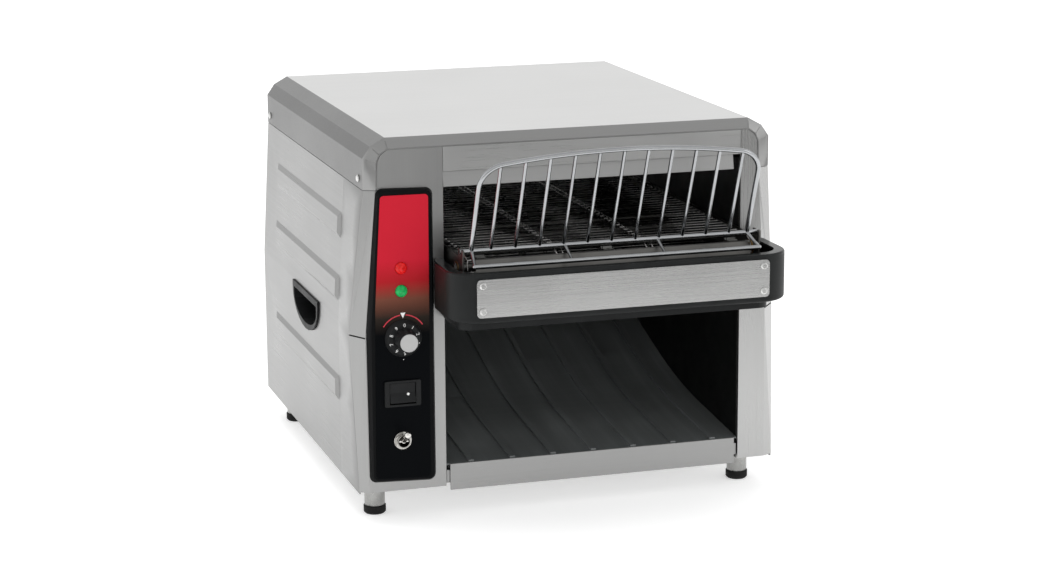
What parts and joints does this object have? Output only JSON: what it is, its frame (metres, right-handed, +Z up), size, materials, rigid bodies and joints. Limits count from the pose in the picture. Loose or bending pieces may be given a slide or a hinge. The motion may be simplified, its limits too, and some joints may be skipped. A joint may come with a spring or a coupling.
{
  "type": "conveyor toaster",
  "caption": "Countertop conveyor toaster with a wire belt, leaning wire feed rack, black feed tray, control column and a curved chute returning toast to the front.",
  "frame": {"origin": "on the counter, under the middle of the machine's overall box", "axes": "+X to the operator's right, +Y towards the back, +Z up; the feed opening faces -Y"},
  "size_m": [0.3754, 0.46, 0.325],
  "materials": {
    "stainless": "brushed satin, grain along each sheet",
    "inner_steel": "heat-dulled mill finish",
    "fasteners": "bright plated",
    "black_plastic": "fine moulded texture",
    "overlay_film": "printed film, crimson fading to black",
    "chrome_wire": "bright chrome plate",
    "belt_wire": "drawn wire, heat-tinted",
    "dark_coated_steel": "dark satin non-stick coat",
    "shaft_steel": "machined",
    "bronze": "sintered bronze",
    "heater_sheath": "oxidised sheath",
    "motor_paint": "black enamel",
    "circuit_board": "solder-masked board",
    "red_lens": "faceted translucent lens",
    "green_lens": "faceted translucent lens",
    "knob_metal": "satin plated",
    "rubber": "moulded rubber"
  },
  "bodies": {
    "housing": {"base_pan": "stainless", "chamber_wall_left": "inner_steel", "chamber_wall_right": "inner_steel", "control_bezel": "black_plastic", "control_board": "circuit_board", "control_column": "stainless", "control_overlay": "overlay_film", "conveyor_belt": "belt_wire", "conveyor_rail_left": "inner_steel", "conveyor_rail_right": "inner_steel", "cord_gland": "black_plastic", "cover_screws": "fasteners", "drive_chain": "shaft_steel", "fan_frame": "black_plastic", "feed_tray": "black_plastic", "gearmotor": "motor_paint", "handle_cup_left": "black_plastic", "handle_cup_right": "black_plastic", "hood_baffle": "stainless", "hood_panel": "stainless", "legs": "stainless", "lower_heaters": "heater_sheath", "lower_reflector": "inner_steel", "motor_bracket": "inner_steel", "power_lamp": "red_lens", "rack_clips": "inner_steel", "ready_lamp": "green_lens", "rear_panel": "stainless", "right_column": "stainless", "rocker_frame": "black_plastic", "rubber_feet": "rubber", "shaft_bushes": "bronze", "side_panel_left": "stainless", "side_panel_right": "stainless", "speed_control": "black_plastic", "terminal_block": "black_plastic", "toast_chute": "dark_coated_steel", "toggle_switch": "knob_metal", "top_cover": "stainless", "tray_liner": "inner_steel", "tray_plate": "stainless", "tray_plate_screws": "fasteners", "upper_heaters": "heater_sheath", "upper_reflector": "inner_steel"},
    "drive_line": {"drive_shaft": "shaft_steel", "drive_rollers": "shaft_steel", "driven_sprocket": "shaft_steel"},
    "idler": {"idler_shaft": "shaft_steel", "idler_rollers": "shaft_steel"},
    "motor_output": {"motor_shaft": "shaft_steel", "motor_sprocket": "shaft_steel"},
    "knob": {"speed_knob": "black_plastic", "knob_cap": "knob_metal", "control_spindle": "shaft_steel"},
    "standby_rocker": {"rocker_paddle": "black_plastic"},
    "power_lever": {"toggle_lever": "knob_metal"},
    "crumb_drawer": {"crumb_tray": "stainless"},
    "rack": {"feed_rack": "chrome_wire"},
    "fan": {"fan_rotor": "black_plastic"}
  },
  "joints": [
    {"name": "drive_spin", "type": "hinge", "parent": "housing", "child": "drive_line", "pos_m": [0.02, 0.11, 0.2195], "axis": [1, 0, 0], "continuous": true},
    {"name": "idler_spin", "type": "hinge", "parent": "housing", "child": "idler", "pos_m": [0.02, -0.18, 0.2195], "axis": [1, 0, 0], "continuous": true},
    {"name": "motor_spin", "type": "hinge", "parent": "housing", "child": "motor_output", "pos_m": [-0.1185, 0.173, 0.182], "axis": [1, 0, 0], "continuous": true},
    {"name": "speed_turn", "type": "hinge", "parent": "housing", "child": "knob", "pos_m": [-0.1475, -0.162, 0.1598], "axis": [0, -1, 0], "range_deg": [-135, 135]},
    {"name": "standby_rock", "type": "hinge", "parent": "housing", "child": "standby_rocker", "pos_m": [-0.1489, -0.156, 0.1132], "axis": [1, 0, 0], "range_deg": [0, 16]},
    {"name": "power_toggle", "type": "hinge", "parent": "housing", "child": "power_lever", "pos_m": [-0.1493, -0.1615, 0.0728], "axis": [1, 0, 0], "range_deg": [0, 64]},
    {"name": "crumb_slide", "type": "slide", "parent": "housing", "child": "crumb_drawer", "axis": [0, -1, 0], "range_m": [0, 0.2]},
    {"name": "rack_lift", "type": "slide", "parent": "housing", "child": "rack", "axis": [0, 0, 1], "range_m": [0, 0.06]},
    {"name": "fan_spin", "type": "hinge", "parent": "housing", "child": "fan", "pos_m": [-0.147, 0.208, 0.112], "axis": [0, 1, 0], "continuous": true}
  ],
  "couplings": [
    {"joint": "idler_spin", "follows": "drive_spin", "ratio": 1},
    {"joint": "motor_spin", "follows": "drive_spin", "ratio": 2}
  ]
}
